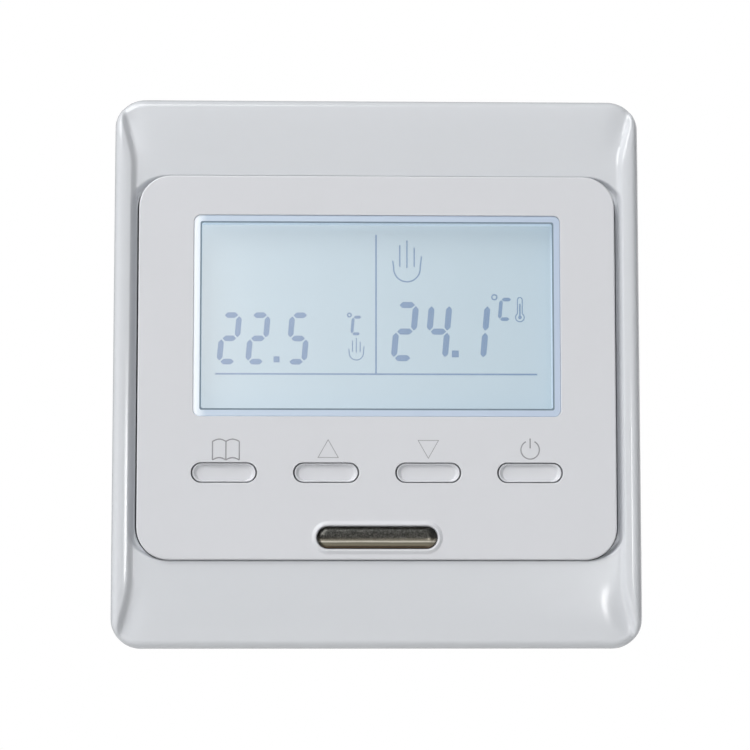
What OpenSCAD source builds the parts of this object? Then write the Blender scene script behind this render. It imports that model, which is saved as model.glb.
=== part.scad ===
// Flush-mount digital room thermostat for underfloor heating.
// X is right as seen from the room, +Z is up and the front faces -Y.
// The wall plane is y = 0: the cover and frame stand in front of it and the
// rear housing sits behind it, in the wall box. The origin is on the wall
// plane, midway between the two wall screw slots.

/* [Frame] */
// Overall width of the outer frame
frame_w = 86; // [82:1:110]
// Overall height of the outer frame
frame_h = 90; // [86:1:112]
// Corner radius of the outer frame
frame_corner = 4.8; // [3:0.1:8]
// Height of the side rails above the wall
rail_top = 12.4; // [12:0.1:15]
// Width of a side rail
rail_w = 2.6; // [2.6:0.1:4]
// Height of the top and bottom bands above the wall
band_top = 11.6; // [10.5:0.1:12.4]
// Rounding of the bands' outer edges
band_round = 3; // [1:0.1:4]
// Mean height of the bands above and below the front cover
band_h = 13.25; // [12:0.25:18]
// How far the frame's centre lies below the cover's
frame_drop = 0.7; // [0:0.1:1]
// Width of the sunken channel beside the front cover
channel_w = 1.1; // [0.8:0.05:3]
// Height of the channel's floor above the wall
channel_top = 10.2; // [9.5:0.1:11]
// Wall thickness of the frame moulding
frame_wall = 1.6; // [1.2:0.1:2.2]
// Reach of the lip that the front cover clamps
lip_reach = 1.95; // [1:0.05:2]
// Thickness of that lip
lip_t = 1; // [0.8:0.1:1.4]

/* [Front cover] */
// Height of the cover's face above the wall
cover_top = 12; // [11.8:0.1:16]
// Thickness of the cover's face
cover_t = 2; // [1.6:0.1:2.4]
// Thickness of the cover's skirt
skirt_t = 1.8; // [1.2:0.1:2]
// Corner radius of the cover
cover_corner = 5.2; // [3:0.1:8]
// Gap between the cover and the frame's opening
cover_gap = 0.35; // [0.2:0.05:0.6]
// Radius of the screw posts inside the cover
post_r = 2; // [1.6:0.1:2.1]

/* [Display] */
// Distance from the cover's side to the window
window_side = 9; // [7:0.25:14]
// Distance from the cover's top to the window
window_above = 6.5; // [6:0.25:9]
// Distance from the cover's bottom to the window
window_below = 23.25; // [22:0.25:28]
// Corner radius of the window
window_corner = 1.1; // [0.5:0.1:3]
// Width of the pale border between the window and the visible display
border_w = 1.2; // [0.8:0.05:2]
// Reach of the lens flange behind the cover
flange_w = 1; // [0.6:0.1:1.1]
// Thickness of the lens flange
flange_t = 0.8; // [0.6:0.1:1]
// How far the lens lies below the cover's face
lens_sunk = 0.15; // [0:0.05:0.5]
// Width of the display glass hidden under the holder's lip
glass_edge = 1.5; // [1:0.1:1.7]
// Thickness of the display glass
glass_t = 2.2; // [1.8:0.1:2.4]
// Thickness of the holder's lip
holder_lip = 0.6; // [0.4:0.1:0.8]
// Wall thickness of the display holder
holder_t = 0.9; // [0.7:0.1:1]
// Thickness of the diffuser sheet and of the reflector sheet
sheet_t = 0.2; // [0.1:0.05:0.3]
// Width of the elastomer strips above and below the light guide
zebra_w = 1.6; // [1:0.1:2]
// Thickness of the backlight strip
strip_t = 1; // [0.6:0.1:1.2]

/* [Buttons] */
// Width of a button's slot
button_w = 10.7; // [8:0.1:13]
// Height of a button's slot
button_h = 3.3; // [2.5:0.05:4]
// Gap around a button cap in its slot
button_gap = 0.15; // [0.1:0.05:0.3]
// Travel of a button
button_travel = 0.45; // [0.3:0.05:0.5]
// How far a button cap lies below the cover's face
button_sunk = 0.2; // [0:0.05:0.4]
// Distance from the cover's bottom to the button row
button_up = 14.1; // [13:0.1:17]
// Reach of the button row past the window on each side
row_overhang = 0.25; // [0:0.05:1]
// Reach and thickness of the retaining rim behind a cap
rim_reach = 0.9; // [0.6:0.1:1.2]
// Thickness of the retaining rim
rim_t = 0.8; // [0.6:0.1:1]
// Width of a push switch
switch_w = 6; // [5:0.5:7]
// Height of a push switch
switch_h = 3.5; // [3:0.1:4]
// Radius of a push switch's plunger
plunger_r = 1.75; // [1.25:0.05:2]
// Height of the plunger above its switch
plunger_out = 1.1; // [0.8:0.1:1.5]

/* [Trim bar] */
// Width of the metal trim bar's slot
trim_w = 19.6; // [12:0.1:26]
// Height of the slot
trim_h = 3.7; // [3:0.1:4.5]
// Distance from the cover's bottom to the bar's centre line
trim_up = 3.6; // [3.5:0.05:5]
// Gap around the bar in its slot
trim_gap = 0.1; // [0.05:0.05:0.2]
// Height of the raised rim around the slot
trim_rim = 0.3; // [0.1:0.05:0.4]
// Width of the raised rim
trim_rim_w = 0.9; // [0.5:0.1:1.2]

/* [Circuit boards] */
// Thickness of both circuit boards
board_t = 1.6; // [1:0.2:1.6]
// Gap between the display board and the yoke
board_gap = 1.2; // [1.1:0.1:3]
// Number of pins between the boards
pin_count = 8; // [4:1:8]
// Distance between pins
pin_pitch = 2.54; // [2:0.27:2.54]
// Distance from the button row up to the row of pins
pin_up = 5; // [4.6:0.1:6]
// Height of the socket on the power board
socket_h = 8.5; // [7:0.5:10]

/* [Mounting yoke] */
// Thickness of the steel yoke
yoke_t = 1.2; // [1:0.1:1.5]
// Distance between the wall screws
screw_pitch = 60; // [50:1:61]
// Width of a wall screw slot
slot_w = 4.4; // [3.6:0.1:4.6]
// Length of a wall screw slot, end to end
slot_l = 9; // [6:0.5:9.5]
// Radius kept clear around a wall screw's head
head_clear = 4.4; // [3.5:0.1:4.6]
// Distance from the centre to each catch tab
tab_z = 15; // [12:0.5:17]
// Width of a catch tab
tab_w = 8; // [6:0.5:9]
// Length of a catch tab in front of the yoke
tab_l = 4.8; // [4:0.1:5]

/* [Rear housing] */
// Distance across the housing's flat sides
housing_w = 50; // [48:1:54]
// Diameter across the housing's round corners
housing_d = 58; // [56:1:60]
// Depth of the housing behind the wall plane
housing_depth = 31; // [29:1:40]
// Wall thickness of the housing
housing_t = 1.6; // [1.2:0.1:2]
// Distance from the centre to each housing screw, both ways
housing_screw = 17; // [16.5:0.25:17.25]
// Number of cooling slots in each side
vent_count = 5; // [3:1:6]

/* [Terminals] */
// Number of terminals
terminal_count = 6; // [3:1:6]
// Distance between terminals
terminal_pitch = 5.08; // [4.6:0.04:5.08]
// Height of the terminal block
terminal_h = 9; // [8:0.5:10]
// Depth of the terminal block
terminal_depth = 12.4; // [10.5:0.1:13]

/* [Hidden] */

$fn = 48;
slack = 0.05;          // clearance of parts that only locate each other
cut = 1;               // how far a cutting shape runs past a face

// Outline sizes of the cover and of what is behind it
opening_w = frame_w - 2 * (rail_w + channel_w);
opening_h = frame_h - 2 * band_h;
cover_w = opening_w - 2 * cover_gap;
cover_h = opening_h - 2 * cover_gap;
inner_w = cover_w - 2 * skirt_t;
inner_h = cover_h - 2 * skirt_t;
inner_corner = cover_corner - skirt_t;
window_w = cover_w - 2 * window_side;
window_h = cover_h - window_above - window_below;
window_z = (window_below - window_above) / 2;
view_w = window_w - 2 * border_w;
view_h = window_h - 2 * border_w;
glass_w = view_w + 2 * glass_edge;
glass_h = view_h + 2 * glass_edge;
pocket_gap = 0.1;
holder_w = glass_w + 2 * (pocket_gap + holder_t);
holder_h = glass_h + 2 * (pocket_gap + holder_t);
guide_w = glass_w - strip_t;
guide_h = glass_h - 2 * (zebra_w + pocket_gap);

// Planes from front to back, as y values
cover_y = -cover_top;
cover_back = cover_y + cover_t;
lens_y = cover_y + lens_sunk;
flange_back = cover_back + flange_t;
glass_y = flange_back + holder_lip;
glass_back = glass_y + glass_t;
yoke_y = -yoke_t;
board_back = yoke_y - board_gap;
board_y = board_back - board_t;
guide_y = glass_back + sheet_t;
guide_back = board_y - sheet_t;
lip_back = yoke_y - slack;
lip_y = lip_back - lip_t;
skirt_back = lip_y - slack;

// Button row
button_count = 4;
button_z = button_up - cover_h / 2;
button_pitch = (window_w + 2 * row_overhang - button_w) / (button_count - 1);
function button_x(i) = (i - (button_count - 1) / 2) * button_pitch;
cap_w = button_w - 2 * button_gap;
cap_h = button_h - 2 * button_gap;
cap_y = cover_y + button_sunk;
rim_y = cover_back + 2 * slack;
rim_back = rim_y + rim_t;
switch_y = board_y - switch_h;
plunger_y = switch_y - plunger_out;
plunger_back = board_y - 1.5;
stem_r = 1.4;

// Trim bar
trim_z = trim_up - cover_h / 2;
trim_t = 1.6;
trim_y = cover_y - 0.1;
trim_floor = trim_y + trim_t;
trim_peg_r = 0.8;
trim_peg_x = 6;

// Display board
tab_t = 1;
tab_x = inner_w / 2 - 0.3 - tab_t;
board_w = 2 * (tab_x - 0.5);
board_h = inner_h - 3;
board_corner = 2;
post_x = board_w / 2 - 1.5;
post_z = board_h / 2 - 2.2;
board_screw_r = 0.95;
board_screw_l = 4;
board_head_r = 1.8;
board_head_t = 1;
pin_z = button_z + pin_up;
pin_t = 0.64;
pin_tail = 1.2;
pin_in = 4;
strip_w = pin_count * pin_pitch;
strip_h = 2.5;
chip_w = 10;
chip_t = 1.4;
chip_z = 2;
cell_r = 3.4;
cell_t = 2.1;
sensor_r = 1.4;
sensor_l = 3.2;
sensor_x = board_w / 2 - 9;
led_count = 3;
led_t = 0.6;

// Yoke
yoke_w = opening_w + 2;
yoke_h = opening_h + 5;
yoke_corner = 6;
barb_t = 1.2;
barb_w = 5.6;
barb_in = 1;
barb_y = yoke_y - tab_l + 1.2;
barb_gap = 0.2;
yoke_hole_w = 28;
yoke_hole_top = chip_z + chip_w / 2 + 2;
yoke_hole_low = pin_z - strip_h / 2 - 2.5;
yoke_screw_r = 1;
yoke_head_r = 2.2;
yoke_screw_l = 8;

// Rear housing and power board
boss_r = 2.7;
boss_web = 2;
boss_at = housing_screw * sqrt(2);
web_end = (housing_d - housing_t) / 2;
liner_t = 0.4;
power_y = housing_depth - terminal_depth - board_t;
power_back = power_y + board_t;
power_gap = 0.5;
rear_post_r = 1.4;
rear_posts = [[-19, 13.5], [19, 13.5], [-21, -7], [21, -7]];
housing_in_w = housing_w - 2 * housing_t;
housing_in_d = housing_d - 2 * housing_t;
socket_y = power_y - socket_h;
block_w = terminal_count * terminal_pitch + 0.6;
block_back = power_back + terminal_depth;
block_gap = 0.3;
pocket_depth = 4.5;
block_z = pocket_depth + terminal_h / 2 - housing_w / 2;
cage_w = 3.6;
cage_h = 6.6;
cage_y = power_back + 2.2;
cage_l = 6.6;
cage_hole = 2.8;
term_screw_r = 1.25;
term_head_r = 1.8;
term_head_t = 1.2;
vent_w = 1.2;
vent_l = 9;

// Parts on the power board: [x, z] of the centre, then the body's size
relay_at = [-11.5, 1.8];
relay_size = [19, 15.2, 15.5];
film_at = [4.4, 16];
film_size = [13, 12, 6];
can_at = [[7.2, 3.5], [16.4, 3.5]];
can_r = 4;
can_l = 12;
varistor_at = [17, -8];
varistor_r = 3.8;
varistor_t = 4;
fuse_at = [-16.4, -9.9];
fuse_r = 3.7;
fuse_l = 7.7;
choke_at = [-8, 15.6];
choke_r = 3;
choke_l = 8;
regulator_at = [4.5, -6];
regulator_size = [5, 1.6, 4];

// Fills an outline drawn in X and Z, from y = y0 back to y = y1.
module slab(y0, y1) {
    translate([0, y1, 0]) rotate([90, 0, 0]) linear_extrude(y1 - y0) children();
}

// Runs an outline drawn in Y and Z along X.
module along_x(length) {
    translate([-length / 2, 0, 0]) rotate([90, 0, 90]) linear_extrude(length) children();
}

// Rectangle with round corners, centred.
module round_rect(w, h, r) {
    square([w - 2 * r, h], center = true);
    square([w, h - 2 * r], center = true);
    for (sx = [-1, 1], sz = [-1, 1])
        translate([sx * (w / 2 - r), sz * (h / 2 - r)]) circle(r);
}

// Slot outline with round ends, centred, its length along X.
module pill(w, h) {
    square([w - h, h], center = true);
    for (side = [-1, 1]) translate([side * (w - h) / 2, 0]) circle(h / 2);
}

// Round rod along Y.
module rod(r, y0, y1) {
    translate([0, y1, 0]) rotate([90, 0, 0]) cylinder(r = r, h = y1 - y0);
}

// Box given by its centre in X and Z, its size and its front plane.
module block(w, depth, h, y0) {
    translate([-w / 2, y0, -h / 2]) cube([w, depth, h]);
}

// Copies its children to the four corners at distance x and z.
module four(x, z) {
    for (sx = [-1, 1], sz = [-1, 1]) translate([sx * x, 0, sz * z]) children();
}

// Round drum with four flats, the outline of everything in the wall box.
module drum(across, diameter) {
    intersection() {
        square(across, center = true);
        circle(d = diameter, $fn = 96);
    }
}

// Frame

// Rail section in X and Y: a post with a round crest, a little wider than
// the frame so that the frame's own side cuts it.
module rail_section() {
    crest = (rail_w + 0.2) / 2;
    translate([frame_w / 2 - rail_w, -rail_top + crest]) square([2 * crest, rail_top - crest]);
    translate([frame_w / 2 - rail_w + crest, -rail_top + crest]) circle(crest);
}

// Band section in Y and Z, rounded at the outer top and bottom edges.
module band_section() {
    edge = frame_h / 2 - band_round + 0.2;
    translate([-band_top + band_round, -frame_h / 2 - cut])
        square([band_top - band_round, frame_h + 2 * cut]);
    translate([-band_top, -edge]) square([band_round + cut, 2 * edge]);
    for (side = [-1, 1]) translate([-band_top + band_round, side * edge]) circle(band_round);
}

// Section that lowers the rails towards the frame's corners.
module rail_end_section() {
    r = 10;
    z = frame_h / 2 - r + 1.2;
    x = -rail_top - 0.5 + r;
    translate([-rail_top - cut, -z]) square([rail_top + cut, 2 * z]);
    translate([x, -z - r]) square([rail_top - r + 0.5, 2 * (z + r)]);
    for (side = [-1, 1]) translate([x, side * z]) circle(r, $fn = 96);
}

module outer_frame() {
    color("whitesmoke") difference() {
        translate([0, 0, -frame_drop]) intersection() {
            slab(-rail_top - cut, 0) round_rect(frame_w, frame_h, frame_corner);
            union() {
                along_x(frame_w + cut) band_section();
                intersection() {
                    for (side = [0, 1]) mirror([side, 0, 0])
                        translate([0, 0, -frame_h / 2]) linear_extrude(frame_h) rail_section();
                    along_x(frame_w + 4 * cut) rail_end_section();
                }
            }
        }
        // opening for the cover, with the clamped lip left at the back
        slab(-rail_top - 2 * cut, lip_y)
            round_rect(opening_w, opening_h, cover_corner + cover_gap);
        slab(lip_y - cut, cut)
            round_rect(opening_w - 2 * lip_reach, opening_h - 2 * lip_reach, inner_corner);
        // sunken channels beside the cover, tapering out round its corners
        slab(-rail_top - 2 * cut, -channel_top)
            round_rect(opening_w + 2 * channel_w, opening_h, cover_corner + channel_w);
        // seat of the yoke
        slab(lip_back, cut) round_rect(yoke_w + 0.6, yoke_h + 0.6, yoke_corner);
        // hollow back
        difference() {
            translate([0, 0, -frame_drop]) slab(-channel_top + 1.4, cut)
                round_rect(frame_w - 2 * frame_wall, frame_h - 2 * frame_wall, frame_corner - frame_wall);
            slab(-rail_top, 2 * cut)
                round_rect(opening_w + 3, opening_h + 3, cover_corner + cover_gap + 1.5);
            for (x = [-2, -1, 1, 2] * frame_w / 6, side = [-1, 1])
                translate([x, 0, side * (opening_h + band_h) / 2]) block(1, rail_top, band_h, -rail_top);
        }
    }
}

// Front cover and what is pressed into it

module catch_barbs() {
    four(inner_w / 2 - barb_in / 2, tab_z)
        block(barb_in + 0.4, barb_t, barb_w, barb_y);
}

module front_cover() {
    color("gainsboro") {
        difference() {
            union() {
                slab(cover_y, skirt_back) round_rect(cover_w, cover_h, cover_corner);
                translate([0, 0, trim_z]) slab(cover_y - trim_rim, cover_back)
                    pill(trim_w + 2 * trim_rim_w, trim_h + 2 * trim_rim_w);
            }
            slab(cover_back, skirt_back + cut) round_rect(inner_w, inner_h, inner_corner);
            translate([0, 0, window_z]) slab(cover_y - cut, cover_back + cut)
                round_rect(window_w, window_h, window_corner);
            for (i = [0 : button_count - 1]) translate([button_x(i), 0, button_z])
                slab(cover_y - cut, cover_back + cut) pill(button_w, button_h);
            translate([0, 0, trim_z]) slab(cover_y - cut, trim_floor) pill(trim_w, trim_h);
            for (side = [-1, 1]) translate([side * trim_peg_x, 0, trim_z])
                rod(trim_peg_r, cover_y, cover_back + cut);
        }
        four(post_x, post_z) difference() {
            rod(post_r, cover_back - 0.5, board_y);
            rod(board_screw_r + slack, board_y - board_screw_l, board_y + cut);
        }
        catch_barbs();
    }
}

module display_lens() {
    color([0.8, 0.87, 0.92, 0.5]) translate([0, 0, window_z]) {
        slab(lens_y, flange_back)
            round_rect(window_w - 2 * slack, window_h - 2 * slack, window_corner);
        slab(cover_back, flange_back)
            round_rect(window_w + 2 * flange_w, window_h + 2 * flange_w, window_corner);
    }
}

module trim_bar() {
    bar_r = 4;
    color("dimgray") translate([0, 0, trim_z]) {
        intersection() {
            slab(trim_y, trim_floor) pill(trim_w - 2 * trim_gap, trim_h - 2 * trim_gap);
            translate([-trim_w / 2, trim_y + bar_r, 0]) rotate([0, 90, 0])
                cylinder(r = bar_r, h = trim_w, $fn = 96);
        }
        for (side = [-1, 1]) translate([side * trim_peg_x, 0, 0])
            rod(trim_peg_r - slack, trim_floor - 0.5, cover_back + 0.5);
    }
}

// Buttons

// Dished cap, its retaining rim and its stem, at the button row.
module button(i) {
    dish_r = 30;
    color("gainsboro") translate([button_x(i), 0, button_z]) {
        difference() {
            slab(cap_y, rim_y) pill(cap_w, cap_h);
            translate([0, cap_y + 0.3 - dish_r, -cap_h]) cylinder(r = dish_r, h = 2 * cap_h, $fn = 180);
        }
        slab(rim_y, rim_back) pill(cap_w + 2 * rim_reach, cap_h + 2 * rim_reach);
        rod(stem_r, rim_back, plunger_y);
    }
}

module plunger(i) {
    color("dimgray") translate([button_x(i), 0, button_z])
        rod(plunger_r, plunger_y, plunger_back - button_travel);
}

module button_menu() { button(0); }
module button_up() { button(1); }
module button_down() { button(2); }
module button_power() { button(3); }
module plunger_menu() { plunger(0); }
module plunger_up() { plunger(1); }
module plunger_down() { plunger(2); }
module plunger_power() { plunger(3); }

module push_switches() {
    color("silver") for (i = [0 : button_count - 1]) translate([button_x(i), 0, button_z])
        difference() {
            block(switch_w, switch_h, switch_w, switch_y);
            rod(plunger_r + slack, switch_y - cut, plunger_back + slack);
        }
}

// Display stack

module lcd_holder() {
    color("aliceblue") translate([0, 0, window_z]) difference() {
        slab(flange_back, board_y) round_rect(holder_w, holder_h, window_corner);
        slab(flange_back - cut, glass_y + cut) square([view_w, view_h], center = true);
        slab(glass_y, board_y + cut)
            square([glass_w + 2 * pocket_gap, glass_h + 2 * pocket_gap], center = true);
    }
}

module lcd_glass() {
    color("lightblue") translate([0, 0, window_z])
        slab(glass_y, glass_back) square([glass_w, glass_h], center = true);
}

module diffuser_sheet() {
    color("white") translate([strip_t / 2, 0, window_z])
        slab(glass_back, guide_y) square([guide_w, guide_h], center = true);
}

module light_guide() {
    color([0.85, 0.93, 0.98, 0.6]) translate([strip_t / 2, 0, window_z])
        slab(guide_y, guide_back) square([guide_w, guide_h], center = true);
}

module reflector_sheet() {
    color("white") translate([strip_t / 2, 0, window_z])
        slab(guide_back, board_y) square([guide_w, guide_h], center = true);
}

// Slim board with its lamps, at the left end of the light guide.
module backlight_strip() {
    depth = guide_back - guide_y;
    color("ivory") translate([-glass_w / 2, 0, window_z]) {
        translate([(strip_t - led_t) / 2, 0, 0]) block(strip_t - led_t, depth, guide_h, guide_y);
        for (i = [0 : led_count - 1])
            translate([strip_t - led_t / 2, 0, (i - (led_count - 1) / 2) * guide_h / led_count])
                block(led_t, depth, 3.5, guide_y);
    }
}

module zebra_strips() {
    color("pink") translate([0, 0, window_z]) for (side = [-1, 1])
        translate([0, 0, side * (glass_h - zebra_w) / 2])
            block(view_w, board_y - glass_back, zebra_w, glass_back);
}

// Display board

module display_board() {
    notch_x = screw_pitch / 2 - (slot_l - slot_w) / 2 - head_clear;
    color("seagreen") difference() {
        slab(board_y, board_back) round_rect(board_w, board_h, board_corner);
        // room for the wall screws' heads
        for (side = [-1, 1]) translate([side * (notch_x + board_w / 2), 0, 0])
            block(board_w, board_t + 2 * cut, 2 * head_clear, board_y - cut);
        four(post_x, post_z) rod(board_screw_r + 0.2, board_y - cut, board_back + cut);
        pins() block(pin_t + 0.2, board_t + 2 * cut, pin_t + 0.2, board_y - cut);
    }
}

// Copies its children to each pin between the boards.
module pins() {
    for (i = [0 : pin_count - 1])
        translate([(i - (pin_count - 1) / 2) * pin_pitch, 0, pin_z]) children();
}

module board_screws() {
    color("silver") four(post_x, post_z) {
        rod(board_screw_r, board_y - board_screw_l + 0.4, board_back + 0.2);
        rod(board_head_r, board_back, board_back + board_head_t);
    }
}

module controller_chip() {
    color("dimgray") translate([0, 0, chip_z]) block(chip_w, chip_t, chip_w, board_back);
}

module backup_cell() {
    color("silver") translate([0, 0, button_z - 5.6]) rod(cell_r, board_y - cell_t, board_y);
}

module room_sensor() {
    color("saddlebrown") translate([sensor_x, 0, button_z - 7]) {
        rod(sensor_r, board_y - sensor_l, board_y - 0.8);
        for (side = [-1, 1]) translate([side * 0.7, 0, 0]) rod(0.3, board_y - 1, board_y);
    }
}

module pin_header() {
    color("black") translate([0, 0, pin_z]) block(strip_w, strip_h, strip_h, board_back);
    color("goldenrod") pins()
        block(pin_t, socket_y + pin_in - board_y + pin_tail, pin_t, board_y - pin_tail);
}

// Yoke

module mounting_yoke() {
    color("silver") {
        difference() {
            slab(yoke_y, 0) round_rect(yoke_w, yoke_h, yoke_corner);
            for (side = [-1, 1]) translate([side * screw_pitch / 2, 0, 0])
                slab(yoke_y - cut, cut) pill(slot_l, slot_w);
            translate([0, 0, (yoke_hole_top + yoke_hole_low) / 2])
                block(yoke_hole_w, yoke_t + 2 * cut, yoke_hole_top - yoke_hole_low, yoke_y - cut);
            four(housing_screw, housing_screw) {
                rod(yoke_screw_r + 0.2, yoke_y - cut, cut);
                countersink(slack);
            }
        }
        // catch tabs, bent forward, each with a hole for a barb
        four(tab_x + tab_t / 2, tab_z) difference() {
            block(tab_t, tab_l + yoke_t / 2, tab_w, yoke_y - tab_l);
            block(2 * tab_t, barb_t + 2 * barb_gap, barb_w + 2 * barb_gap, barb_y - barb_gap);
        }
    }
}

// Cone of a countersunk head, flush with the yoke's front.
module countersink(extra) {
    translate([0, yoke_y, 0]) rotate([-90, 0, 0])
        cylinder(r1 = yoke_head_r + extra, r2 = yoke_screw_r + extra, h = yoke_t);
}

module yoke_screws() {
    color("silver") four(housing_screw, housing_screw) {
        countersink(0);
        rod(yoke_screw_r, yoke_y + yoke_t / 2, yoke_screw_l);
    }
}

// Wall box side

module insulation_sheet() {
    color("khaki") difference() {
        slab(0, liner_t) drum(housing_in_w - 0.4, housing_in_d - 0.4);
        four(housing_screw, housing_screw) rod(yoke_screw_r + 0.3, -cut, liner_t + cut);
        translate([0, 0, pin_z]) block(strip_w + 0.8, liner_t + 2 * cut, strip_h + 0.8, -cut);
    }
}

module rear_housing() {
    color("whitesmoke") {
        difference() {
            slab(0, housing_depth) drum(housing_w, housing_d);
            slab(-cut, housing_depth - housing_t) drum(housing_in_w, housing_in_d);
            // room for the terminal block and its wires
            translate([0, 0, block_z - pocket_depth / 2 - cut])
                block(block_w + 2 * block_gap, housing_depth, terminal_h + pocket_depth + 2 * block_gap + 2 * cut,
                    power_back);
            // cooling slots
            for (side = [-1, 1], i = [0 : vent_count - 1])
                translate([side * housing_w / 2, 0, (i - (vent_count - 1) / 2) * 3.2])
                    block(4 * housing_t, vent_l, vent_w, 5);
            for (i = [0 : vent_count - 1])
                translate([(i - (vent_count - 1) / 2) * 3.2, 0, housing_w / 2])
                    block(vent_w, vent_l, 4 * housing_t, 5);
        }
        // screw bosses, each joined to the drum by a web
        for (quarter = [0 : 3]) rotate([0, 45 + 90 * quarter, 0]) difference() {
            union() {
                translate([boss_at, 0, 0]) rod(boss_r, liner_t, power_y);
                translate([(boss_at + web_end) / 2, 0, 0])
                    block(web_end - boss_at, power_y - liner_t, boss_web, liner_t);
            }
            translate([boss_at, 0, 0]) rod(yoke_screw_r + slack, -cut, yoke_screw_l + 2);
        }
        for (at = rear_posts) translate([at[0], 0, at[1]])
            rod(rear_post_r, power_back, housing_depth - housing_t + 0.5);
    }
}

module power_board() {
    color("seagreen") difference() {
        slab(power_y, power_back) drum(housing_in_w - 2 * power_gap, housing_in_d - 2 * power_gap);
        pins() block(pin_t + 0.2, board_t + 2 * cut, pin_t + 0.2, power_y - cut);
    }
}

module header_socket() {
    color("black") difference() {
        translate([0, 0, pin_z]) block(strip_w, socket_h, strip_h, socket_y);
        pins() block(pin_t + 0.16, pin_in + 0.5 + cut, pin_t + 0.16, socket_y - cut);
    }
}

// Stands a body of the given size on the power board's front.
module on_board(at, depth) {
    translate([at[0], power_y - depth, at[1]]) children();
}

module relay() {
    color("royalblue") on_board(relay_at, relay_size[1])
        block(relay_size[0], relay_size[1], relay_size[2], 0);
}

module film_capacitor() {
    color("gold") on_board(film_at, film_size[1])
        block(film_size[0], film_size[1], film_size[2], 0);
}

module electrolytic_capacitors() {
    color("midnightblue") for (at = can_at) on_board(at, can_l) rod(can_r, 0, can_l);
}

module varistor() {
    lift = 0.8;
    color("deepskyblue") on_board(varistor_at, varistor_r * 2 + lift)
        translate([0, varistor_r, -varistor_t / 2]) cylinder(r = varistor_r, h = varistor_t);
    color("silver") for (side = [-1, 1])
        translate([side * 2, 0, 0]) on_board(varistor_at, lift + 2) rod(0.4, 0, lift + 2);
}

module fuse() {
    color("sienna") on_board(fuse_at, fuse_l) rod(fuse_r, 0, fuse_l);
}

module choke() {
    flange = 1;
    color("darkolivegreen") on_board(choke_at, choke_l) {
        rod(choke_r, 0, flange);
        rod(choke_r - 0.5, flange / 2, choke_l - flange / 2);
        rod(choke_r, choke_l - flange, choke_l);
    }
}

module regulator_chip() {
    color("dimgray") on_board(regulator_at, regulator_size[1])
        block(regulator_size[0], regulator_size[1], regulator_size[2], 0);
}

// Terminals

// Copies its children to each terminal.
module terminals() {
    for (i = [0 : terminal_count - 1])
        translate([(i - (terminal_count - 1) / 2) * terminal_pitch, 0, block_z]) children();
}

module terminal_block() {
    side_wall = (terminal_h - cage_h) / 2;
    color("lightgreen") difference() {
        translate([0, 0, block_z]) block(block_w, terminal_depth, terminal_h, power_back);
        terminals() {
            // chamber of the cage, open below for the wire
            translate([0, 0, -side_wall]) block(cage_w + 2 * slack, cage_l + 2 * slack,
                cage_h + 2 * side_wall + 2 * slack, cage_y - slack);
            rod(term_head_r + 0.15, cage_y, block_back + cut);
        }
    }
}

module terminal_cages() {
    color("gold") terminals() difference() {
        block(cage_w, cage_l, cage_h, cage_y);
        block(cage_hole, cage_hole, cage_h + cut, cage_y + 1);
        rod(term_screw_r + slack, cage_y + 1, cage_y + cage_l + cut);
    }
}

module terminal_screws() {
    color("silver") terminals() difference() {
        union() {
            rod(term_screw_r, cage_y + 1 + cage_hole + 0.2, cage_y + cage_l + 1);
            rod(term_head_r, cage_y + cage_l + 0.8, cage_y + cage_l + 0.8 + term_head_t);
        }
        block(4 * term_head_r, 0.8, 0.6, cage_y + cage_l + term_head_t + 0.2);
    }
}

outer_frame();
front_cover();
display_lens();
lcd_holder();
lcd_glass();
diffuser_sheet();
light_guide();
reflector_sheet();
backlight_strip();
zebra_strips();
button_menu();
button_up();
button_down();
button_power();
plunger_menu();
plunger_up();
plunger_down();
plunger_power();
push_switches();
trim_bar();
display_board();
board_screws();
controller_chip();
backup_cell();
room_sensor();
pin_header();
mounting_yoke();
yoke_screws();
insulation_sheet();
rear_housing();
power_board();
header_socket();
relay();
film_capacitor();
electrolytic_capacitors();
varistor();
fuse();
choke();
regulator_chip();
terminal_block();
terminal_cages();
terminal_screws();
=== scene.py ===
"""The looks of a flush-mount room thermostat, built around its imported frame."""

import math

import bmesh
import bpy
from mathutils import Matrix, Vector


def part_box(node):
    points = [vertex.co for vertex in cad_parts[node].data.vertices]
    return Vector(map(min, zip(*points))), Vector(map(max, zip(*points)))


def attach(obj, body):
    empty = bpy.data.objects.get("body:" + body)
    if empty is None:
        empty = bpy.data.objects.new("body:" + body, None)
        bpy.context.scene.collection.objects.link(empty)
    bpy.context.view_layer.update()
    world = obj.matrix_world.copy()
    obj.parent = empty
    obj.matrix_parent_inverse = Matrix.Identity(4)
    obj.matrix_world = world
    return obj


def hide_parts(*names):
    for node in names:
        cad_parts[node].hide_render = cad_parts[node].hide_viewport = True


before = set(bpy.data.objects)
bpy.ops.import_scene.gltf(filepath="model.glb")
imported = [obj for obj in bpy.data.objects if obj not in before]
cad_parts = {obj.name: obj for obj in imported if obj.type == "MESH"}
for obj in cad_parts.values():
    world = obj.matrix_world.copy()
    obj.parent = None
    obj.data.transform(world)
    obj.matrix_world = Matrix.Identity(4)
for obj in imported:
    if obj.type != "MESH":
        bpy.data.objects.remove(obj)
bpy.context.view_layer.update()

MM = 0.001
ROOT = "thermostat"
KEYS = ("menu", "up", "down", "power")

# ---------------------------------------------------------------- sizes

frame_low, frame_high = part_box("outer_frame")
cover_low, cover_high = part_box("front_cover")
lens_low, lens_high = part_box("display_lens")
glass_low, glass_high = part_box("lcd_glass")
bar_low, bar_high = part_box("trim_bar")

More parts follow.
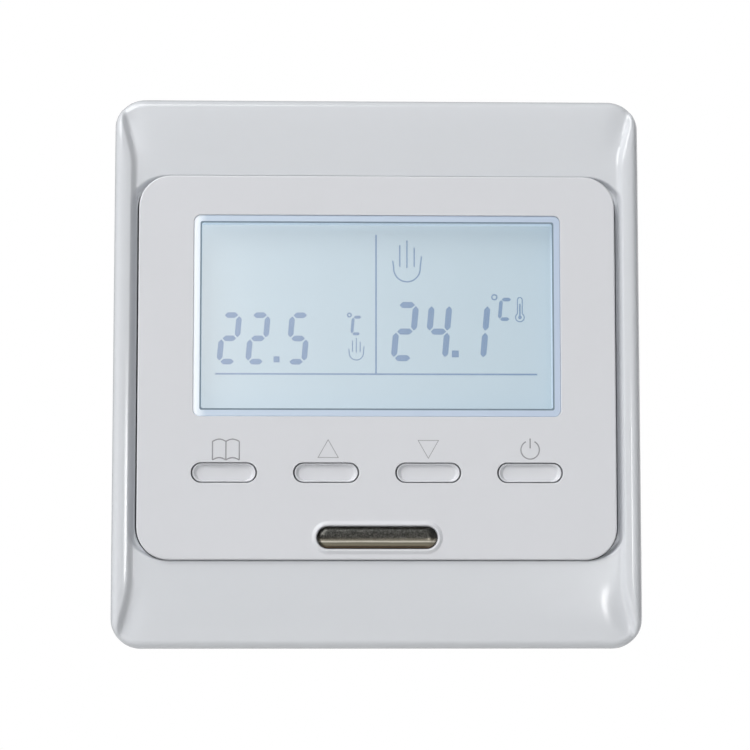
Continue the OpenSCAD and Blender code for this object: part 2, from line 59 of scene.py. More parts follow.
frame_half_w, frame_half_h = frame_high.x, (frame_high.z - frame_low.z) / 2
frame_z = (frame_high.z + frame_low.z) / 2
frame_corner = 4.8 * MM
frame_wall = 1.6 * MM
rail_top = -frame_low.y
channel_top = 10.2 * MM
cover_half_w, cover_half_h = cover_high.x, cover_high.z
cover_corner = 5.2 * MM
cover_gap = 0.35 * MM
cover_wall = 1.8 * MM
cover_plate = 2 * MM
lens_sunk = 0.15 * MM
face_y = lens_low.y - lens_sunk
lens_flange = 1 * MM
lens_gap = 0.05 * MM
window_half_w = (lens_high.x - lens_low.x) / 2 - lens_flange
window_half_h = (lens_high.z - lens_low.z) / 2 - lens_flange
window_z = (lens_high.z + lens_low.z) / 2
window_corner = 1.1 * MM
opening_half_w = cover_half_w + cover_gap
opening_half_h = cover_half_h + cover_gap / 4
opening_corner = cover_corner + cover_gap
key_rim = 0.9 * MM
key_gap = 0.15 * MM


# ---------------------------------------------------------------- modelling

def let_go():
    """Back to object mode, with nothing selected."""
    if bpy.context.object and bpy.context.object.mode != "OBJECT":
        bpy.ops.object.mode_set(mode="OBJECT")
    bpy.ops.object.select_all(action="DESELECT")


def take(*pieces):
    """Selects only these pieces, the first one active."""
    let_go()
    for piece in pieces:
        piece.select_set(True)
    bpy.context.view_layer.objects.active = pieces[0]


def named(piece, name):
    """Names a piece and its mesh."""
    piece.name = name
    piece.data.name = name
    return piece


def settle(piece):
    """Moves the piece's place, turn and scale into its mesh."""
    take(piece)
    bpy.ops.object.transform_apply(location=True, rotation=True, scale=True)
    return piece


def apply_modifier(piece, kind, **settings):
    """Adds a modifier with these settings and applies it."""
    take(piece)
    modifier = piece.modifiers.new(kind.title(), kind)
    for setting, value in settings.items():
        setattr(modifier, setting, value)
    bpy.ops.object.modifier_apply(modifier=modifier.name)
    return piece


def smooth(piece, angle=35):
    """Smooth shading, sharp only past the angle, with broad faces kept flat."""
    take(piece)
    bpy.ops.object.shade_smooth_by_angle(angle=math.radians(angle))
    return apply_modifier(piece, "WEIGHTED_NORMAL", keep_sharp=True)


def join(name, pieces):
    """Makes one piece of several."""
    take(*pieces)
    bpy.ops.object.join()
    return named(bpy.context.object, name)


def box(name, low, high):
    """A box between two corners."""
    low, high = Vector(low), Vector(high)
    let_go()
    bpy.ops.mesh.primitive_cube_add(size=1, location=(low + high) / 2)
    piece = named(bpy.context.object, name)
    piece.scale = high - low
    return settle(piece)


def round_box(name, low, high, radius):
    """A box with its edges broken."""
    piece = box(name, low, high)
    apply_modifier(piece, "BEVEL", width=radius, segments=1)
    return smooth(piece)


def outline(half_w, half_h, corner, turn=10, side=1, rise=1, at=(0, 0)):
    """Corners of a rounded rectangle in X and Z, anticlockwise from its right side.

    turn, side and rise are the steps round a corner, along the top and up a side."""
    places = []
    for quarter in range(4):
        steps = rise if quarter % 2 else side
        ends = []
        for q in (quarter, quarter + 1):
            ends.append(((half_w - corner) * (1 if q % 4 in (0, 3) else -1),
                         (half_h - corner) * (1 if q % 4 in (0, 1) else -1)))
        for step in range(turn + 1):
            angle = math.pi / 2 * (quarter + step / turn)
            places.append((ends[0][0] + corner * math.cos(angle),
                           ends[0][1] + corner * math.sin(angle)))
        last = places[-1]
        angle = math.pi / 2 * (quarter + 1)
        after = (ends[1][0] + corner * math.cos(angle), ends[1][1] + corner * math.sin(angle))
        for step in range(1, steps):
            part = step / steps
            places.append((last[0] + (after[0] - last[0]) * part,
                           last[1] + (after[1] - last[1]) * part))
    return [(x + at[0], z + at[1]) for x, z in places]


def pill(half_w, radius, turn=12, at=(0, 0)):
    """Corners of a slot shape with round ends; the corners stop just short of meeting."""
    return outline(half_w, radius, radius * 0.9999, turn=turn, at=at)


def level(places, y):
    """An outline laid at depth y."""
    return [Vector((x, y, z)) for x, z in places]


def loft(name, rings, ends="capped"):
    """A skin through rings with equally many corners, each extruded from the last.

    ends is capped, or joined when the last ring runs back to the first."""
    let_go()
    bpy.ops.mesh.primitive_circle_add(vertices=len(rings[0]), radius=1)
    piece = named(bpy.context.object, name)
    bpy.ops.object.mode_set(mode="EDIT")
    bpy.context.tool_settings.mesh_select_mode = (True, False, False)
    bpy.ops.mesh.select_all(action="SELECT")
    if ends == "capped":
        bpy.ops.mesh.edge_face_add()
    elif ends == "joined":
        rings = rings + rings[:1]
    loop = list(range(len(rings[0])))
    for number, ring in enumerate(rings):
        if number:
            bpy.ops.mesh.extrude_region_move()
        shape = bmesh.from_edit_mesh(piece.data)
        shape.verts.ensure_lookup_table()
        shape.verts.index_update()
        if number:
            loop = [next(edge.other_vert(shape.verts[i]).index for edge in shape.verts[i].link_edges
                         if edge.other_vert(shape.verts[i]).select) for i in loop]
        for i, place in zip(loop, ring):
            shape.verts[i].co = place
        bmesh.update_edit_mesh(piece.data)
    bpy.ops.mesh.select_all(action="SELECT")
    bpy.ops.mesh.remove_doubles(threshold=MM / 1000)
    bpy.ops.mesh.normals_make_consistent(inside=False)
    bpy.ops.object.mode_set(mode="OBJECT")
    return piece


def cut(piece, cutters):
    """Takes the cutters' shapes out of the piece."""
    for cutter in cutters:
        apply_modifier(piece, "BOOLEAN", operation="DIFFERENCE", solver="EXACT", object=cutter)
        bpy.data.objects.remove(cutter)
    return piece


def pick_edges(piece, wanted):
    """Enters edit mode with the edges selected whose two ends satisfy wanted."""
    take(piece)
    bpy.ops.object.mode_set(mode="EDIT")
    bpy.context.tool_settings.mesh_select_mode = (False, True, False)
    bpy.ops.mesh.select_all(action="DESELECT")
    shape = bmesh.from_edit_mesh(piece.data)
    for edge in shape.edges:
        edge.select = all(wanted(v.co) for v in edge.verts) and len(edge.link_faces) == 2 \
            and edge.calc_face_angle(0) > math.radians(50)
    shape.select_flush_mode()
    bmesh.update_edit_mesh(piece.data)


def stroke(name, paths, width, depth, y):
    """Thin raised lines along paths of (x, z) places.

    A path that ends where it starts is closed."""
    data = bpy.data.curves.new(name, "CURVE")
    data.dimensions = "3D"
    data.bevel_depth = width / 2
    data.bevel_resolution = 2
    data.use_fill_caps = True
    for path in paths:
        closed = (Vector(path[0]) - Vector(path[-1])).length < width / 10
        places = path[:-1] if closed else path
        line = data.splines.new("POLY")
        line.points.add(len(places) - 1)
        line.use_cyclic_u = closed
        for point, (x, z) in zip(line.points, places):
            point.co = (x, 0, z, 1)
    piece = bpy.data.objects.new(name, data)
    bpy.context.scene.collection.objects.link(piece)
    take(piece)
    bpy.ops.object.convert(target="MESH")
    piece = named(bpy.context.object, name)
    piece.scale = (1, depth / width, 1)
    piece.location = (0, y, 0)
    return settle(piece)


def arc(x, z, radius, start, end, steps=16):
    """Places along an arc, its angles in degrees from the right, anticlockwise."""
    turns = [math.radians(start + (end - start) * i / steps) for i in range(steps + 1)]
    return [(x + radius * math.cos(a), z + radius * math.sin(a)) for a in turns]


def ramp(low, high, value):
    """0 below low, 1 above high, with a smooth rise between."""
    part = min(1, max(0, (value - low) / (high - low)))
    return part * part * (3 - 2 * part)


def roll(distance, radius):
    """How far a rounded edge has dropped at this distance in from its side."""
    inside = max(0.0, radius - distance)
    return radius - math.sqrt(max(0.0, radius ** 2 - inside ** 2))


def from_side(x, z, half_w, half_h, corner):
    """Distance of a place from a rounded rectangle's side, positive outside it."""
    dx, dz = abs(x) - half_w + corner, abs(z) - half_h + corner
    return math.hypot(max(dx, 0), max(dz, 0)) + min(max(dx, dz), 0) - corner


# ---------------------------------------------------------------- materials

WHITE_GLOSS = (0.74, 0.76, 0.79)
WHITE_MATT = (0.74, 0.75, 0.78)

# the backlight comes in at the screen's left end, and its ink is paler there
SCREEN_LIGHT = 0.585
SCREEN_LEFT = (0.80, 0.91, 0.98)
SCREEN_RIGHT = (0.53, 0.66, 0.74)
SCREEN_GLOW = (0.95, 0.99, 1.0)
GLOW_FADE = 16
INK_LEFT = (0.47, 0.55, 0.73)
INK_RIGHT = (0.17, 0.29, 0.47)
UNLIT = 0.35


class Wire:
    """A value in a material: arithmetic on it adds Math nodes."""

    def __init__(self, finish, socket):
        self.finish, self.socket = finish, socket

    def math(self, operation, *values):
        """Any other Math operation on these values or wires."""
        return self.finish.node("Math", {"operation": operation}, dict(enumerate(values)))

    def __add__(self, other):
        return self.math("ADD", self, other)

    def __sub__(self, other):
        return self.math("SUBTRACT", self, other)

    def __rsub__(self, other):
        return self.math("SUBTRACT", other, self)

    def __mul__(self, other):
        return self.math("MULTIPLY", self, other)

    def __gt__(self, other):
        return self.math("GREATER_THAN", self, other)

    __radd__, __rmul__ = __add__, __mul__


class Finish:
    """A material built round its main shader, with constants on the shader's own sockets."""

    def __init__(self, name, **constants):
        self.material = bpy.data.materials.new(name)
        self.material.use_nodes = True
        self.tree = self.material.node_tree
        self.shader = self.tree.nodes["Principled BSDF"]
        for socket, value in constants.items():
            self.shader.inputs[socket.replace("_", " ")].default_value = value
        self.place = self.node("TexCoord", out="Object")

    def node(self, kind, settings=None, values=None, out=0):
        """Adds a node: its settings first, then its sockets' values or wires."""
        made = self.tree.nodes.new("ShaderNode" + kind)
        for setting, value in (settings or {}).items():
            if setting == "stops":
                while len(made.color_ramp.elements) < len(value):
                    made.color_ramp.elements.new(0.5)
                for stop, (position, colour) in zip(made.color_ramp.elements, value):
                    stop.position, stop.color = position, (*colour, 1)
            else:
                setattr(made, setting, value)
        for socket, value in (values or {}).items():
            self.feed(made.inputs[socket], value)
        return Wire(self, made.outputs[out])

    def feed(self, socket, value):
        """Links a wire to the socket, or sets a plain value on it."""
        if isinstance(value, Wire):
            self.tree.links.new(value.socket, socket)
        else:
            socket.default_value = value

    def set(self, **wires):
        """Feeds the shader's sockets that vary over the surface."""
        for socket, wire in wires.items():
            self.feed(self.shader.inputs[socket.replace("_", " ")], wire)
        return self

    def noise(self, size, detail=3, rough=0.5, place=None):
        """Noise from 0 to 1 whose patches are about size across."""
        return self.node("TexNoise", None, {"Vector": place or self.place, "Scale": 1 / size,
                                            "Detail": detail, "Roughness": rough})

    def stretched(self, x, y, z):
        """The piece's coordinates, stretched by these factors."""
        return self.node("Mapping", None, {"Vector": self.place, "Scale": (x, y, z)})

    def blend(self, part, first, second):
        """A colour between two, by a wire from 0 to 1."""
        return self.node("Mix", {"data_type": "RGBA"}, {0: part, 6: first, 7: second}, out=2)

    def bump(self, height, distance):
        """Relief that stands this distance high."""
        return self.set(Normal=self.node("Bump", None, {"Height": height, "Distance": distance,
                                                        "Strength": 1.0}))

    def axis(self, name):
        """X, Y or Z of the piece's own coordinates."""
        return self.node("SeparateXYZ", None, {"Vector": self.place}, out=name)

    def along(self, low, high):
        """From 0 at low to 1 at high, across the piece's width."""
        return (self.axis("X") - low) * (1 / (high - low))


def rgb(colour):
    """A colour with full alpha, as sockets take it."""
    return (*colour, 1)


def darker(colour, part):
    """The colour at this part of its brightness."""
    return rgb([c * part for c in colour])


def plastic(name, colour, roughness, grain, depth, coat=0.0, mottle=0.03):
    """Moulded plastic: faint flow mottling, uneven gloss and a fine moulded grain."""
    finish = Finish(name, IOR=1.5, Coat_Weight=coat, Coat_Roughness=0.08)
    flow = finish.noise(14 * MM, 4)
    patch = finish.noise(2.5 * MM, 3)
    finish.set(Base_Color=finish.blend(flow, rgb(colour), darker(colour, 1 - 2 * mottle)),
               Roughness=patch * (roughness * 0.3) + roughness * 0.85)
    return finish.bump(finish.noise(grain, 2, 0.6), depth).material


def metal(name, colour, roughness, streak, grain=0.25 * MM):
    """Plated or brushed metal: streaked gloss and a fine grain, with dull blooms."""
    finish = Finish(name, Metallic=1.0)
    lines = finish.noise(grain, 3, 0.6, finish.stretched(*streak))
    bloom = finish.noise(4 * MM, 4)
    finish.set(Base_Color=finish.blend(bloom, rgb(colour), darker(colour, 0.8)),
               Roughness=lines * 0.22 + bloom * 0.12 + (roughness - 0.15))
    return finish.bump(lines, 0.004 * MM).material


def epoxy(name, colour, roughness):
    """Dipped or filled resin, slightly uneven."""
    finish = Finish(name, Coat_Weight=0.2)
    lumps = finish.noise(1.2 * MM, 3)
    finish.set(Base_Color=finish.blend(lumps, rgb(colour), darker(colour, 0.7)),
               Roughness=lumps * 0.2 + roughness)
    return finish.bump(lumps, 0.03 * MM).material


def circuit_board():
    """Green solder mask over copper tracks that run up and across."""
    finish = Finish("solder_mask", Coat_Weight=0.4, Coat_Roughness=0.12)
    cells = finish.node("TexVoronoi", {"distance": "MANHATTAN", "feature": "F1"},
                        {"Vector": finish.place, "Scale": 1 / (3.2 * MM), "Randomness": 0.8})
    tracks = (cells.math("FRACT", cells * 5) > 0.55) * (finish.noise(9 * MM, 1) > 0.42)
    finish.set(Base_Color=finish.blend(tracks, rgb((0.012, 0.13, 0.05)), rgb((0.03, 0.24, 0.09))),
               Roughness=finish.noise(1 * MM, 2) * 0.2 + 0.3)
    return finish.bump(tracks, 0.02 * MM).material


def display_light():
    """The screen's face, lit from a lamp strip at its left end and fading to the right."""
    finish = Finish("display_screen", Roughness=0.35, Emission_Strength=SCREEN_LIGHT,
                    Base_Color=darker(SCREEN_RIGHT, UNLIT))
    across = finish.along(glass_low.x, glass_high.x)
    height = (finish.axis("Z") - (glass_low.z + glass_high.z) / 2) * (2 / (glass_high.z - glass_low.z))
    near = finish.node("Math", {"operation": "EXPONENT"}, {0: across * -GLOW_FADE})
    spot = near * (1 - height * height * 0.75)
    cloud = finish.noise(9 * MM, 2) * 0.06
    body = finish.blend(across + cloud, rgb(SCREEN_LEFT), rgb(SCREEN_RIGHT))
    finish.set(Emission_Color=finish.blend(spot, body, rgb(SCREEN_GLOW)))
    return finish.material


def holder_glow():
    """Translucent white holder that the backlight shines through."""
    finish = Finish("holder_pale", Emission_Strength=0.45, Roughness=0.5)
    cloud = finish.noise(7 * MM, 3)
    finish.set(Base_Color=finish.blend(cloud, rgb((0.45, 0.52, 0.58)), rgb((0.40, 0.47, 0.54))),
               Emission_Color=finish.blend(cloud, rgb((0.62, 0.76, 0.86)), rgb((0.55, 0.69, 0.80))))
    return finish.material


def segment_ink():
    """Switched-on crystal: lavender, paler where the backlight is strong."""
    finish = Finish("segment_ink", Roughness=0.4, Emission_Strength=SCREEN_LIGHT,
                    Base_Color=darker(INK_RIGHT, UNLIT))
    across = finish.along(glass_low.x, glass_high.x)
    cloud = finish.noise(1.5 * MM, 2) * 0.12 - 0.06
    finish.set(Emission_Color=finish.blend(across + cloud, rgb(INK_LEFT), rgb(INK_RIGHT)))
    return finish.material


def clear_sheet(name, tint, alpha, roughness=0.05):
    """Clear moulded sheet with a faint haze in it."""
    finish = Finish(name, IOR=1.49, Base_Color=rgb(tint))
    haze = finish.noise(6 * MM, 2)
    finish.set(Roughness=haze * 0.04 + roughness, Alpha=haze * (alpha * 0.3) + alpha * 0.85)
    return finish.material


# painted light: the border's colour and glow are brightest at its left end, where the backlight comes in,
# and fade towards the right
BORDER_LIT_TONES = [(0.0, (0.86, 0.91, 0.95)), (0.014, (0.86, 0.91, 0.95)),
                (0.05, (0.50, 0.57, 0.66)), (1.0, (0.44, 0.51, 0.62))]
BORDER_LIGHT = [(0.0, (1.0, 1.0, 1.0)), (0.014, (1.0, 1.0, 1.0)),
                (0.05, (0.50, 0.61, 0.74)), (1.0, (0.38, 0.47, 0.60))]


def border_frost():
    """Frosted bevel round the window, carrying a little of the screen's light; its colour and glow are
    painted brightest at the left end, near the backlight, and fade to the right.
    """
    finish = Finish("border_frost", Emission_Strength=0.27)
    across = finish.along(lens_low.x, lens_high.x)
    haze = finish.noise(5 * MM, 2)
    finish.set(Base_Color=finish.node("ValToRGB", {"stops": BORDER_LIT_TONES}, {"Fac": across}),
               Emission_Color=finish.node("ValToRGB", {"stops": BORDER_LIGHT}, {"Fac": across}),
               Roughness=haze * 0.15 + 0.3)
    return finish.material


# painted reflection on the trim, from its bottom edge up: a dark brown bottom edge, a lighter warm lower
# part with a bright painted highlight line, a dark upper half and a lighter top edge; light specks are
# strewn in the dark upper half
TRIM_REFLECTION_TONES = [(0.0, (0.12, 0.06, 0.03)), (0.08, (0.24, 0.19, 0.13)), (0.2, (0.26, 0.24, 0.18)),
              (0.27, (0.20, 0.185, 0.14)), (0.31, (0.85, 0.80, 0.70)), (0.36, (0.40, 0.37, 0.30)),
              (0.5, (0.13, 0.12, 0.10)), (0.86, (0.12, 0.12, 0.11)), (1.0, (0.50, 0.47, 0.38))]
SPECKLED_DARK_REFLECTION = [(0.0, (0.01, 0.01, 0.01)), (0.44, (0.03, 0.03, 0.03)), (0.56, (0.12, 0.12, 0.11)),
             (0.8, (0.4, 0.39, 0.36))]


def trim_metal():
    """Dark polished trim with lengthwise lines; its colour is a painted reflection, warm and lighter below
    with a painted highlight line, dark with light specks above.
    """
    finish = Finish("trim_metal", Metallic=1.0)
    middle, half = (bar_low.z + bar_high.z) / 2, (bar_high.z - bar_low.z) / 2
    rise = (finish.axis("Z") - middle) * (1 / half)
    lines = finish.noise(0.35 * MM, 4, 0.65, finish.stretched(0.08, 1, 1))
    specks = finish.noise(0.3 * MM, 4, 0.8)
    # the upper half takes the dark, speckled painted reflection; the rest follows the painted reflection
    # tones from bottom to top
    upper_reflection_mask = finish.node("Clamp", None, {"Value": (rise + 0.02 + lines * 0.1) * 12})
    painted_reflection = finish.node("ValToRGB", {"stops": TRIM_REFLECTION_TONES},
                       {"Fac": rise * 0.5 + 0.5 + lines * 0.05 - 0.025})
    speckled_reflection = finish.node("ValToRGB", {"stops": SPECKLED_DARK_REFLECTION}, {"Fac": specks})
    finish.set(Base_Color=finish.blend(upper_reflection_mask * 0.75, painted_reflection, speckled_reflection),
               Roughness=upper_reflection_mask * 0.12 + lines * 0.2 + 0.14)
    return finish.bump(specks, 0.008 * MM).material


zinc = metal("zinc_plate", (0.62, 0.63, 0.64), 0.34, (1, 1, 1), 0.6 * MM)
screw_steel = metal("screw_steel", (0.66, 0.66, 0.65), 0.28, (1, 0.2, 1))
brass = metal("brass", (0.72, 0.53, 0.24), 0.3, (0.2, 1, 1))
frame_gloss = plastic("frame_gloss", WHITE_GLOSS, 0.18, 0.9 * MM, 0.0015 * MM, coat=0.25, mottle=0.01)
cover_matt = plastic("cover_matt", WHITE_MATT, 0.42, 0.12 * MM, 0.003 * MM, mottle=0.01)
key_matt = plastic("key_matt", WHITE_MATT, 0.34, 0.15 * MM, 0.002 * MM, mottle=0.01)
housing_matt = plastic("housing_matt", (0.72, 0.72, 0.70), 0.5, 0.3 * MM, 0.02 * MM)
black_moulding = plastic("black_moulding", (0.02, 0.02, 0.022), 0.45, 0.25 * MM, 0.01 * MM)
symbol_grey = plastic("symbol_grey", (0.33, 0.33, 0.35), 0.5, 0.1 * MM, 0.002 * MM)
board_green = circuit_board()

CAD_FINISHES = {
    "lcd_glass": display_light(),
    "lcd_holder": holder_glow(),
    "diffuser_sheet": plastic("diffuser_white", (0.85, 0.88, 0.9), 0.5, 0.2 * MM, 0.005 * MM),
    "reflector_sheet": plastic("reflector_white", (0.9, 0.91, 0.92), 0.3, 0.5 * MM, 0.002 * MM),
    "light_guide": clear_sheet("light_guide_clear", (0.85, 0.93, 0.98), 0.55, 0.15),
    "backlight_strip": epoxy("lamp_strip", (0.85, 0.8, 0.6), 0.4),
    "zebra_strips": plastic("contact_rubber", (0.75, 0.42, 0.45), 0.7, 0.2 * MM, 0.02 * MM),
    "display_board": board_green,
    "power_board": board_green,
    "board_screws": screw_steel,
    "controller_chip": black_moulding,
    "backup_cell": metal("cell_steel", (0.7, 0.7, 0.69), 0.25, (1, 1, 0.2)),
    "room_sensor": epoxy("sensor_resin", (0.14, 0.05, 0.02), 0.25),
    "pin_header": black_moulding,
    "insulation_sheet": plastic("liner_film", (0.62, 0.5, 0.2), 0.3, 2 * MM, 0.01 * MM),
    "header_socket": black_moulding,
    "electrolytic_capacitors": plastic("can_sleeve", (0.02, 0.025, 0.07), 0.25, 0.8 * MM, 0.01 * MM),
    "varistor": epoxy("varistor_resin", (0.03, 0.14, 0.4), 0.3),
    "fuse": plastic("fuse_brown", (0.12, 0.05, 0.025), 0.4, 0.3 * MM, 0.01 * MM),
    "choke": epoxy("choke_lacquer", (0.05, 0.055, 0.035), 0.4),
    "regulator_chip": black_moulding,
    "terminal_cages": brass,
}


def finish_piece(piece, name, material, body=ROOT, stands_for=()):
    """Names a piece, gives it its material and says what it rides on and stands for."""
    named(piece, name)
    if material:
        piece.data.materials.clear()
        piece.data.materials.append(material)
    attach(piece, body)
    if stands_for:
        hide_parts(*stands_for)


# ---------------------------------------------------------------- outer frame

FRAME_STEPS = {"turn": 24, "side": 60, "rise": 80}
FRAME_RINGS = 72
RING_CROWDING = 0.14

# the bands above and below the cover, and how they and the rails drop towards the frame's ends
BAND_RISE, BAND_DROP, RAIL_DROP = 11.4 * MM, 0.6 * MM, 1.7 * MM
DROP_REACH = 2.4 * MM
# the channel's outline past the cover's opening, its corner and its step up to the bands
CHANNEL_SIDE, CHANNEL_END, CHANNEL_CORNER = 1.3 * MM, -0.3 * MM, 6 * MM
CHANNEL_STEP = (-0.3 * MM, 0.35 * MM)
# the rail's steep inner slope swings outwards towards the corners, with a shallow valley beside it
RAIL_SLOPE = (2.6 * MM, 3.65 * MM)
SWING, SWING_REACH = 1.9 * MM, (1 * MM, 11.5 * MM)
VALLEY_DEPTH, VALLEY_MIDDLE, VALLEY_WIDTH = 0.5 * MM, 3.4 * MM, 2.2 * MM
VALLEY_START, VALLEY_FADE = (0, 4 * MM), (4 * MM, 12 * MM)
# the rail's crest falls off on both sides
DOME_DROP, DOME_REACH = 0.35 * MM, 0.9 * MM
SHOULDER_DROP, SHOULDER_REACH = 0.2 * MM, (1.6 * MM, 3.1 * MM)
FRAME_ROUND, MOUTH_ROUND = 1.3 * MM, 0.15 * MM


def frame_height(x, z):
    """How far the frame's face stands in front of the wall at a place."""
    in_from_side, in_from_end = frame_half_w - abs(x), frame_half_h - abs(z - frame_z)
    crown = math.exp(-in_from_end / DROP_REACH)
    band = BAND_RISE - BAND_DROP * crown
    past_channel = from_side(x, z, opening_half_w + CHANNEL_SIDE, opening_half_h + CHANNEL_END,
                             CHANNEL_CORNER)
    floor = channel_top + (band - channel_top) * ramp(*CHANNEL_STEP, past_channel)
    swung_in = in_from_side + SWING * (1 - ramp(*SWING_REACH, in_from_end))
    valley = ramp(*VALLEY_START, in_from_end) * (1 - ramp(*VALLEY_FADE, in_from_end))
    floor -= VALLEY_DEPTH * valley * math.exp(-((swung_in - VALLEY_MIDDLE) / VALLEY_WIDTH) ** 2)
    crest = 1 - ramp(*RAIL_SLOPE, swung_in)
    dome = DOME_DROP * math.exp(-in_from_side / DOME_REACH)
    shoulder = SHOULDER_DROP * ramp(*SHOULDER_REACH, swung_in)
    height = floor + (rail_top - RAIL_DROP * crown - dome - shoulder - floor) * crest
    height -= roll(-from_side(x, z - frame_z, frame_half_w, frame_half_h, frame_corner), FRAME_ROUND)
    return height - roll(from_side(x, z, opening_half_w, opening_half_h, opening_corner), MOUTH_ROUND)


def make_frame():
    """Raised rails and bands round the cover's opening, hollow and ribbed behind."""
    def outside(inset):
        return outline(frame_half_w - inset, frame_half_h - inset, frame_corner - inset,
                       at=(0, frame_z), **FRAME_STEPS)

    def inside(reach, corner=None):
        return outline(opening_half_w + reach, opening_half_h + reach,
                       corner or opening_corner + reach, **FRAME_STEPS)

    outer, inner = outside(0), inside(0)
    rings = []
    for number in range(FRAME_RINGS, -1, -1):
        part = number / FRAME_RINGS
        inwards = part - RING_CROWDING * math.sin(2 * math.pi * part)
        ring = []
        for (xo, zo), (xi, zi) in zip(outer, inner):
            x, z = xo + (xi - xo) * inwards, zo + (zi - zo) * inwards
            ring.append(Vector((x, -frame_height(x, z), z)))
        rings.append(ring)
    collar, lip, hollow = 1.5 * MM, 1.95 * MM, 8.8 * MM
    seat, lip_top, edge = 1.25 * MM, 2.25 * MM, 0.25 * MM
    for ring, height in ((outside(0), edge), (outside(edge), 0), (outside(frame_wall), 0),
                         (outside(frame_wall), hollow), (inside(collar), hollow), (inside(collar), seat),
                         (inside(-lip, cover_corner - cover_wall), seat),
                         (inside(-lip, cover_corner - cover_wall), lip_top), (inside(0), lip_top)):
        rings.append(level(ring, -height))
    shell = loft("frame_shell", rings, ends="joined")
    ribs = []
    for x in (-2, -1, 1, 2):
        middle = x * frame_half_w / 3
        for side in (-1, 1):
            ends = sorted((side * (opening_half_h + collar - edge),
                           frame_z + side * (frame_half_h - frame_wall + edge)))
            ribs.append(box("rib", (middle - MM / 2, -hollow - edge, ends[0]),
                            (middle + MM / 2, -2 * seat, ends[1])))
    piece = join("frame_moulding", [smooth(shell, 40)] + ribs)
    finish_piece(piece, "frame_moulding", frame_gloss, stands_for=["outer_frame"])


# ---------------------------------------------------------------- front cover

key_boxes = [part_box("button_" + key) for key in KEYS]
key_places = [((low.x + high.x) / 2, (low.z + high.z) / 2) for low, high in key_boxes]
key_half_w = (key_boxes[0][1].x - key_boxes[0][0].x) / 2 - key_rim
key_half_h = (key_boxes[0][1].z - key_boxes[0][0].z) / 2 - key_rim
trim_gap = 0.1 * MM
bar_place = (0, (bar_low.z + bar_high.z) / 2)
slot_half_w = (bar_high.x - bar_low.x) / 2 + trim_gap
slot_half_h = (bar_high.z - bar_low.z) / 2 + trim_gap
bar_depth = 1.6 * MM
bead_reach = 1 * MM
bead_rise = face_y - cover_low.y


def make_cover():
    """Matt plate and skirt with a window, key slots and a beaded pocket for the trim bar."""
    back = cover_high.y
    plate_back = face_y + cover_plate
    fillet, fillet_steps = 0.3 * MM, 6

    def cover_ring(inset, y):
        return level(outline(cover_half_w - inset, cover_half_h - inset, cover_corner - inset), y)

    rings = [cover_ring(cover_wall, plate_back), cover_ring(cover_wall, back), cover_ring(0, back)]
    for step in range(fillet_steps + 1):
        angle = math.pi / 2 * step / fillet_steps
        rings.append(cover_ring(fillet * (1 - math.cos(angle)), face_y + fillet * (1 - math.sin(angle))))
    piece = loft("cover", rings)
    through = (face_y - MM, plate_back + MM)
    window = outline(window_half_w, window_half_h, window_corner, at=(0, window_z))
    cutters = [loft("window", [level(window, y) for y in through])]
    for place in key_places:
        slot = pill(key_half_w + key_gap, key_half_h + key_gap, at=place)
        cutters.append(loft("slot", [level(slot, y) for y in through]))
    pocket = pill(slot_half_w, slot_half_h, 16, bar_place)
    cutters.append(loft("pocket", [level(pocket, y) for y in (face_y - MM, bar_low.y + bar_depth)]))
    cut(piece, cutters)

    def on_hole_edge(place):
        return (abs(place.y - face_y) < MM / 1000
                and abs(place.x) < cover_half_w - 2 * MM and abs(place.z) < cover_half_h - 2 * MM)

    pick_edges(piece, on_hole_edge)
    bpy.ops.mesh.bevel(offset=0.12 * MM, segments=3, profile=0.5)
    bpy.ops.object.mode_set(mode="OBJECT")

    def bead_ring(reach, y):
        return level(pill(slot_half_w + reach, slot_half_h + reach, 16, bar_place), y)

    bead_foot, bead_steps, bead_swell, bead_lip = 0.3 * MM, 14, 0.62, 0.3 * MM
    bead_rings = [bead_ring(reach, face_y + bead_foot) for reach in (0, bead_reach)]
    for step in range(bead_steps + 1):
        part = step / bead_steps
        reach = bead_reach * (1 - part)
        rise = bead_rise * math.sin(math.pi * part * bead_swell) ** 2
        bead_rings.append(bead_ring(reach, face_y + 0.02 * MM - rise + roll(reach, bead_lip)))
    bead = loft("bead", bead_rings, ends="joined")
    piece = join("cover_moulding", [smooth(piece), smooth(bead, 50)])
    finish_piece(piece, "cover_moulding", cover_matt, stands_for=["front_cover"])


def make_lens():
    """Clear window with a pale bevelled border, and a fine dark line between the two."""
    half_w, half_h = window_half_w - lens_gap, window_half_h - lens_gap
    border, line, drop = 1.25 * MM, 0.26 * MM, 0.06 * MM
    front = lens_low.y
    lens_rings = []
    for inset, y in ((0, lens_high.y), (0, front + drop + 0.08 * MM), (0.06 * MM, front + drop),
                     (border - line, front + 0.03 * MM), (border - line, front + 0.05 * MM),
                     (border, front + 0.05 * MM), (border, front)):
        corner = max(window_corner - inset, 0.35 * MM)
        lens_rings.append(level(outline(half_w - inset, half_h - inset, corner, at=(0, window_z)), y))
    piece = loft("lens", lens_rings)
    clear, frosted, lined = range(3)
    for material in (clear_sheet("lens_clear", (0.9, 0.95, 1.0), 0.05), border_frost(),
                     clear_sheet("lens_line", (0.2, 0.27, 0.33), 0.95, 0.3)):
        piece.data.materials.append(material)
    for face in piece.data.polygons:
        inset = -max(from_side(piece.data.vertices[v].co.x, piece.data.vertices[v].co.z - window_z,
                               half_w, half_h, window_corner) for v in face.vertices)
        if len(face.vertices) > 4:
            face.material_index = clear
        elif inset < border - 1.5 * line:
            face.material_index = frosted
        else:
            face.material_index = lined
    smooth(piece, 20)
    finish_piece(piece, "window_lens", None, stands_for=["display_lens"])


